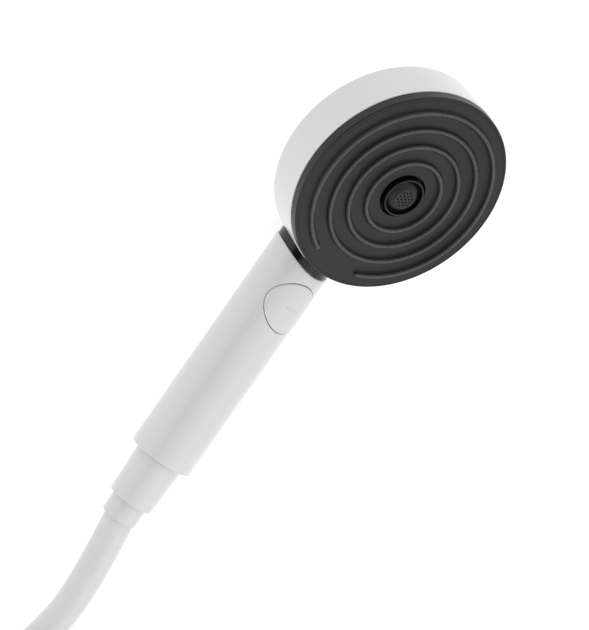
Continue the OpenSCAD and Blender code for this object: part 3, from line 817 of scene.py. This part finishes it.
def make_button():
    """The cap: the handle's own curve inside the hole, with a rounded edge and a small sunk mark."""
    steps = 144
    soft = 0.5
    fine, fine_step = 36, 0.125
    fine_r = fine * fine_step
    coarse = 8
    rows = []

    def loop(radius, skin, lower=0.0, marked=False):
        row = []
        for a in turn(steps):
            x, y = radius * math.cos(a), radius * math.sin(a)
            sunk = mark_depth(x, y) if marked else 0
            row.append((BUTTON_X + x, y, math.sqrt(skin * skin - y * y) - lower - sunk))
        rows.append(row)

    loop(0, BUTTON_TOP)
    for k in range(1, fine + 1):
        loop(fine_step * k, BUTTON_TOP, marked=True)
    for k in range(1, coarse + 1):
        loop(fine_r + (BUTTON_R - soft - fine_r) * k / coarse, BUTTON_TOP)
    for k in range(1, 6):
        b = math.radians(18 * k)
        loop(BUTTON_R - soft * (1 - math.sin(b)), BUTTON_TOP, soft * (1 - math.cos(b)))
    for k in range(coarse + 1):
        loop(BUTTON_R + (BUTTON_BOSS_R - BUTTON_R) * k / coarse, BUTTON_UNDER)
    boss = [(BUTTON_BOSS_R * math.cos(a), BUTTON_BOSS_R * math.sin(a)) for a in turn(steps)]
    rows.append([(BUTTON_X + x, y, BUTTON_BOSS_LOW) for x, y in boss])
    rows.append([(BUTTON_X, 0, BUTTON_BOSS_LOW)] * steps)
    points = [p for row in rows for p in row]
    cap = mesh_object("button", points, grid_faces(len(rows), steps), IN_HANDLE, WHITE, body="button")
    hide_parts("button_cap")


make_button()


def make_spring(node, place, radius, wire, ends, turns):
    """A wound spring along the place's z axis, between its fixed end and the end that the joint pushes."""
    low, top = min(ends) + wire, max(ends) - wire
    around, sides = 36, 10
    steps = around * turns
    points = []
    for i in range(steps + 1):
        a = 2 * math.pi * i / around
        for b in turn(sides):
            out = radius + wire * math.cos(b)
            height = low + (top - low) * i / steps + wire * math.sin(b)
            points.append((out * math.cos(a), out * math.sin(a), height))
    faces = grid_faces(steps + 1, sides)
    faces += [list(range(sides)), list(range(steps * sides, steps * sides + sides))]
    spring = mesh_object(f"{node}_wire", points, faces, place, STEEL, slot="steel")
    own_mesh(spring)
    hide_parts(node)


IN_VALVE = IN_HANDLE @ Matrix.Translation(Vector((BUTTON_X, 0, 0)) * MM)
make_spring("button_spring", IN_VALVE, 6.1, 0.5, (-2, 7), 5)
make_spring("check_spring", HANDLE_AXIS, 2.4, 0.3, (34, 28.7), 3)

# ---------------------------------------------------------------- hose ends

NUT_END, NUT_GAP, NUT_SHOULDER = -25.1, -0.6, -16.7
NUT_WIDE_R, NUT_NARROW_R, NUT_THREAD_R, NUT_HOLE_R = 12.2, 11.3, 10.53, 8.08
nut = lathe(
    "conical_nut",
    [
        (NUT_HOLE_R, NUT_END, 0.2), (NUT_NARROW_R, NUT_END, 0.4), (NUT_WIDE_R, NUT_GAP, 0.4),
        (NUT_THREAD_R, NUT_GAP, 0.3), (NUT_THREAD_R, NUT_SHOULDER), (NUT_HOLE_R, NUT_SHOULDER),
    ],
    HANDLE_AXIS, WHITE, body="conical_nut",
)
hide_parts("cone_nut")

SLEEVE_END, SLEEVE_FLOOR, SLEEVE_TOP = -35.2, -26.4, -25.4
SLEEVE_R, SLEEVE_BORE_R, SLEEVE_HOLE_R = 9, 7.8, 5.45
sleeve = lathe(
    "hose_sleeve",
    [
        (SLEEVE_BORE_R, SLEEVE_END, 0.15), (SLEEVE_R, SLEEVE_END, 0.35), (SLEEVE_R, SLEEVE_TOP, 0.3),
        (SLEEVE_HOLE_R, SLEEVE_TOP), (SLEEVE_HOLE_R, SLEEVE_FLOOR), (SLEEVE_BORE_R, SLEEVE_FLOOR),
    ],
    HANDLE_AXIS, WHITE,
)
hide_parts("near_sleeve")

# ---------------------------------------------------------------- light and floor

OPENING_AT = (0.1, 0.84, 0.53)
OPENING_OUTER = 30
OPENING_INNER = 14
OPENING_LIGHT = 0.05
WORLD_LIGHT = 1.0
FLOOR_GLOW = 0.8


def add_light(name, at, aim, size, power):
    data = bpy.data.lights.new(name, "AREA")
    data.shape = "DISK"
    data.size = size
    data.energy = power
    light = bpy.data.objects.new(name, data)
    away = Vector(at) - Vector(aim)
    light.matrix_world = Matrix.Translation(at) @ away.to_track_quat("Z", "Y").to_matrix().to_4x4()
    bpy.context.scene.collection.objects.link(light)


def make_world():
    """An even white studio with one soft darker opening, which gives round glossy parts their shade."""
    world = bpy.data.worlds.new("studio")
    world.use_nodes = True
    tree = world.node_tree
    place = tree.nodes.new("ShaderNodeTexCoord")
    along = tree.nodes.new("ShaderNodeVectorMath")
    along.operation = "DOT_PRODUCT"
    along.inputs[1].default_value = Vector(OPENING_AT).normalized()
    tree.links.new(place.outputs["Generated"], along.inputs[0])
    fade = tree.nodes.new("ShaderNodeMapRange")
    fade.interpolation_type = "SMOOTHSTEP"
    fade.inputs["From Min"].default_value = math.cos(math.radians(OPENING_OUTER))
    fade.inputs["From Max"].default_value = math.cos(math.radians(OPENING_INNER))
    fade.inputs["To Min"].default_value = WORLD_LIGHT
    fade.inputs["To Max"].default_value = OPENING_LIGHT
    tree.links.new(along.outputs["Value"], fade.inputs["Value"])
    tree.nodes["Background"].inputs["Color"].default_value = (1, 1, 1, 1)
    tree.links.new(fade.outputs["Result"], tree.nodes["Background"].inputs["Strength"])
    bpy.context.scene.world = world


def make_floor():
    size = 4
    mesh = bpy.data.meshes.new("floor")
    corners = [(-size, -size, 0), (size, -size, 0), (size, size, 0), (-size, size, 0)]
    mesh.from_pydata(corners, [], [(0, 1, 2, 3)])
    material, tree, shader = new_material("floor_paper", (0.35, 0.35, 0.35), 0.9)
    shader.inputs["Specular IOR Level"].default_value = 0.1
    shader.inputs["Emission Color"].default_value = (1, 1, 1, 1)
    shader.inputs["Emission Strength"].default_value = FLOOR_GLOW
    mesh.materials.append(material)
    floor = bpy.data.objects.new("floor", mesh)
    bpy.context.scene.collection.objects.link(floor)


make_world()
make_floor()
add_light("key", (-0.9, -0.5, 1.6), (0, 0, 0), 1.8, 5)
bpy.context.scene.view_settings.view_transform = "Standard"
